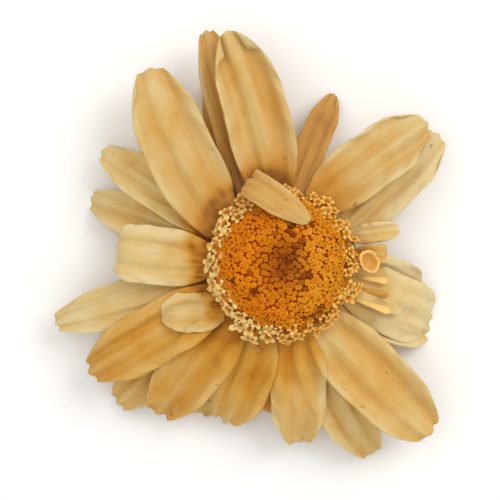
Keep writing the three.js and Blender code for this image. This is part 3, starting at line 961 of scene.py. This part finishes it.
def dome_fall(radius):
    """How steeply the dome falls outwards at a radius."""
    inner = dome_height(max(radius - SMALL_STEP, 0.0))
    outer = dome_height(min(radius + SMALL_STEP, DISC_RADIUS))
    return (inner - outer) / (2 * SMALL_STEP)


def spread_over_dome(count):
    """The radius of each floret from the middle out, so that each has the same share of the dome."""
    areas = [0.0]
    for step in range(AREA_STEPS):
        radius = DISC_RADIUS * (step + 0.5) / AREA_STEPS
        areas.append(areas[-1] + radius * math.hypot(1, dome_fall(radius)))
    radii = []
    step = 0
    for number in range(count):
        wanted = areas[-1] * (number + 0.5) / count
        while areas[step + 1] < wanted:
            step += 1
        part = (wanted - areas[step]) / (areas[step + 1] - areas[step])
        radii.append(DISC_RADIUS * (step + part) / AREA_STEPS)
    return radii


disc_draw = random.Random(31)
disc_florets = Pile("tip", "inside", "tone", "wither")
dome_profile = [
    (0, DISC_BOTTOM), (DISC_RADIUS * 0.96, DISC_BOTTOM), (DISC_RADIUS, DISC_SHOULDER - 0.3),
]
for step in range(DOME_STEPS):
    ring = DISC_RADIUS * math.cos(math.pi / 2 * step / DOME_STEPS)
    dome_profile.append((ring, dome_height(ring)))
dome_profile.append((0, dome_height(0)))
dome_points, dome_faces = turned(dome_profile, DOME_SIDES)
disc_florets.add(dome_points, dome_faces, inside=1.0, tone=0.5)

# Withered florets fill the middle, are scattered in an arc to the right of it, and make one small
# bruise near the rim. STRAY is the chance of one anywhere else.
DISC_COUNT = 560
GOLDEN_ANGLE = math.pi * (3 - math.sqrt(5))
OFF_SPIRAL = 0.045
OPEN_FROM = 0.86
OPEN_SIZE = 0.175
CLOSED_SIZE = 0.165
DISC_WOBBLE = 0.14
KNOB_TOP = 1.5
WITHERED_RADIUS = 0.95
ARC_RADIUS = 1.0
ARC_WIDTH = 0.45
ARC_CHANCE = 0.35
BRUISE = Vector((1.55, -2.3))
BRUISE_RADIUS = 0.3
STRAY = 0.02
for number, radius in enumerate(spread_over_dome(DISC_COUNT)):
    bearing = number * GOLDEN_ANGLE + disc_draw.uniform(-OFF_SPIRAL, OFF_SPIRAL) / max(radius, 0.1)
    radius = min(max(radius + disc_draw.uniform(-OFF_SPIRAL, OFF_SPIRAL), 0.0), DISC_RADIUS)
    lean = math.atan(dome_fall(radius)) * 0.9 + disc_draw.uniform(-0.25, 0.25)
    opened = radius / DISC_RADIUS > OPEN_FROM + disc_draw.uniform(-0.3, 0.1)
    rings = HALF_OPEN_RINGS if opened else CLOSED_RINGS
    points, faces, inside = floret_shape(rings, DISC_WOBBLE, disc_draw)
    foot = polar(bearing, radius, dome_height(radius) + disc_draw.uniform(-0.04, 0.03))
    size = (OPEN_SIZE if opened else CLOSED_SIZE) * disc_draw.uniform(0.78, 1.18)
    tips = [min(max(point.z / KNOB_TOP, 0.0), 1.0) for point in points]
    off_middle = Vector((foot.x - 0.05, foot.y * 0.8))
    wither = math.exp(-(off_middle.length / WITHERED_RADIUS) ** 2) * disc_draw.uniform(0.8, 1.15)
    to_the_right = off_middle.x / max(off_middle.length, 0.1)
    in_the_arc = math.exp(-((off_middle.length - ARC_RADIUS) / ARC_WIDTH) ** 2)
    in_the_arc *= 0.5 + 0.5 * to_the_right
    bruised = math.exp(-((foot.xy - BRUISE).length / BRUISE_RADIUS) ** 2)
    if disc_draw.random() < max(ARC_CHANCE * in_the_arc, bruised, STRAY):
        wither = disc_draw.uniform(0.7, 1.0)
    placed = stand(points, foot, lean, bearing, disc_draw.uniform(0, math.tau), size)
    disc_florets.add(
        placed, faces, tip=tips, inside=inside, tone=disc_draw.uniform(0, 1), wither=min(wither, 1.0)
    )

closed_finish = Finish("disc florets")
disc_place = closed_finish.node("ShaderNodeTexCoord", {}, {}, "Object")
disc_grain = closed_finish.grain(disc_place, 5200.0, detail=3.0)
disc_patches = closed_finish.grain(disc_place, 520.0, detail=2.0)
# Painted light: the dome is coloured lighter and yellower towards its right, the side the light comes
# from, and more orange on its left.
lit_side = closed_finish.node("ShaderNodeSeparateXYZ", {}, {0: disc_place}, "X")
lit_side = lit_side * 250.0 + disc_patches
lit_side_colour = closed_finish.blend(lit_side.between(0.1, 1.2), paint(230, 136, 14), paint(228, 156, 33))
disc_colour = closed_finish.blend(closed_finish.mark("tone") * 0.5, lit_side_colour, paint(212, 116, 12))
knob = closed_finish.mark("tip").between(0.3, 0.9)
disc_colour = closed_finish.blend(knob, paint(208, 108, 10), disc_colour)
disc_colour = closed_finish.blend(closed_finish.mark("inside") * 0.6, disc_colour, paint(190, 94, 8))
withered = closed_finish.mark("wither")
disc_colour = closed_finish.blend(withered * 0.95, disc_colour, paint(128, 46, 6))
pollen = disc_grain.between(0.5, 0.8) * (1 - withered) * 0.3
closed_finish.dress({
    "Base Color": closed_finish.blend(pollen, disc_colour, paint(238, 168, 60)),
    "Roughness": 0.65 + 0.25 * disc_grain,
    "Normal": closed_finish.bump(disc_grain, 0.00003, 0.5),
    "Specular IOR Level": 0.1,
    "Subsurface Weight": 0.2,
    "Subsurface Radius": (1.0, 0.4, 0.1),
    "Subsurface Scale": 0.0002,
})
disc_florets.make("dome_of_florets", closed_finish, "disc_florets")


# ---- Table, light and camera -------------------------------------------------------------------
# The head lies on a plain pale surface under soft light from the upper right, and the camera looks
# straight down on it.

TABLE_HALF = 0.6
TABLE_HEIGHT = -0.00002
table_mesh = bpy.data.meshes.new("table")
table_corners = [
    (side * TABLE_HALF, end * TABLE_HALF, TABLE_HEIGHT)
    for side, end in ((-1, -1), (1, -1), (1, 1), (-1, 1))
]
table_mesh.from_pydata(table_corners, [], [(0, 1, 2, 3)])
table = bpy.data.objects.new("table", table_mesh)
bpy.context.scene.collection.objects.link(table)
table_finish = Finish("pale table")
table_finish.dress({"Base Color": paint(252, 251, 249), "Roughness": 0.9})
table_mesh.materials.append(table_finish.material)

world = bpy.data.worlds.new("soft daylight")
world.use_nodes = True
daylight = world.node_tree.nodes["Background"].inputs
daylight["Color"].default_value = (1.0, 0.99, 0.97, 1.0)
daylight["Strength"].default_value = 0.65
bpy.context.scene.world = world

LIGHTS = (
    {"name": "window", "place": (0.10, 0.08, 0.14), "size": 0.1, "watts": 0.13},
    {"name": "sky", "place": (-0.05, 0.02, 0.22), "size": 0.2, "watts": 0.14},
)
for light in LIGHTS:
    lamp = bpy.data.lights.new(light["name"], "AREA")
    lamp.size = light["size"]
    lamp.energy = light["watts"]
    holder = bpy.data.objects.new(light["name"], lamp)
    holder.location = light["place"]
    holder.rotation_euler = (-Vector(light["place"])).to_track_quat("-Z", "Y").to_euler()
    bpy.context.scene.collection.objects.link(holder)

VIEW_WIDTH = 0.024
VIEW_MIDDLE = (-0.00145, 0.00065)
CAMERA_HEIGHT = 0.09
camera_data = bpy.data.cameras.new("camera")
camera_data.lens = camera_data.sensor_width * CAMERA_HEIGHT / VIEW_WIDTH
camera_data.clip_start = 0.001
camera = bpy.data.objects.new("camera", camera_data)
camera.location = (*VIEW_MIDDLE, CAMERA_HEIGHT)
bpy.context.scene.collection.objects.link(camera)
bpy.context.scene.camera = camera
bpy.context.scene.view_settings.view_transform = "Standard"
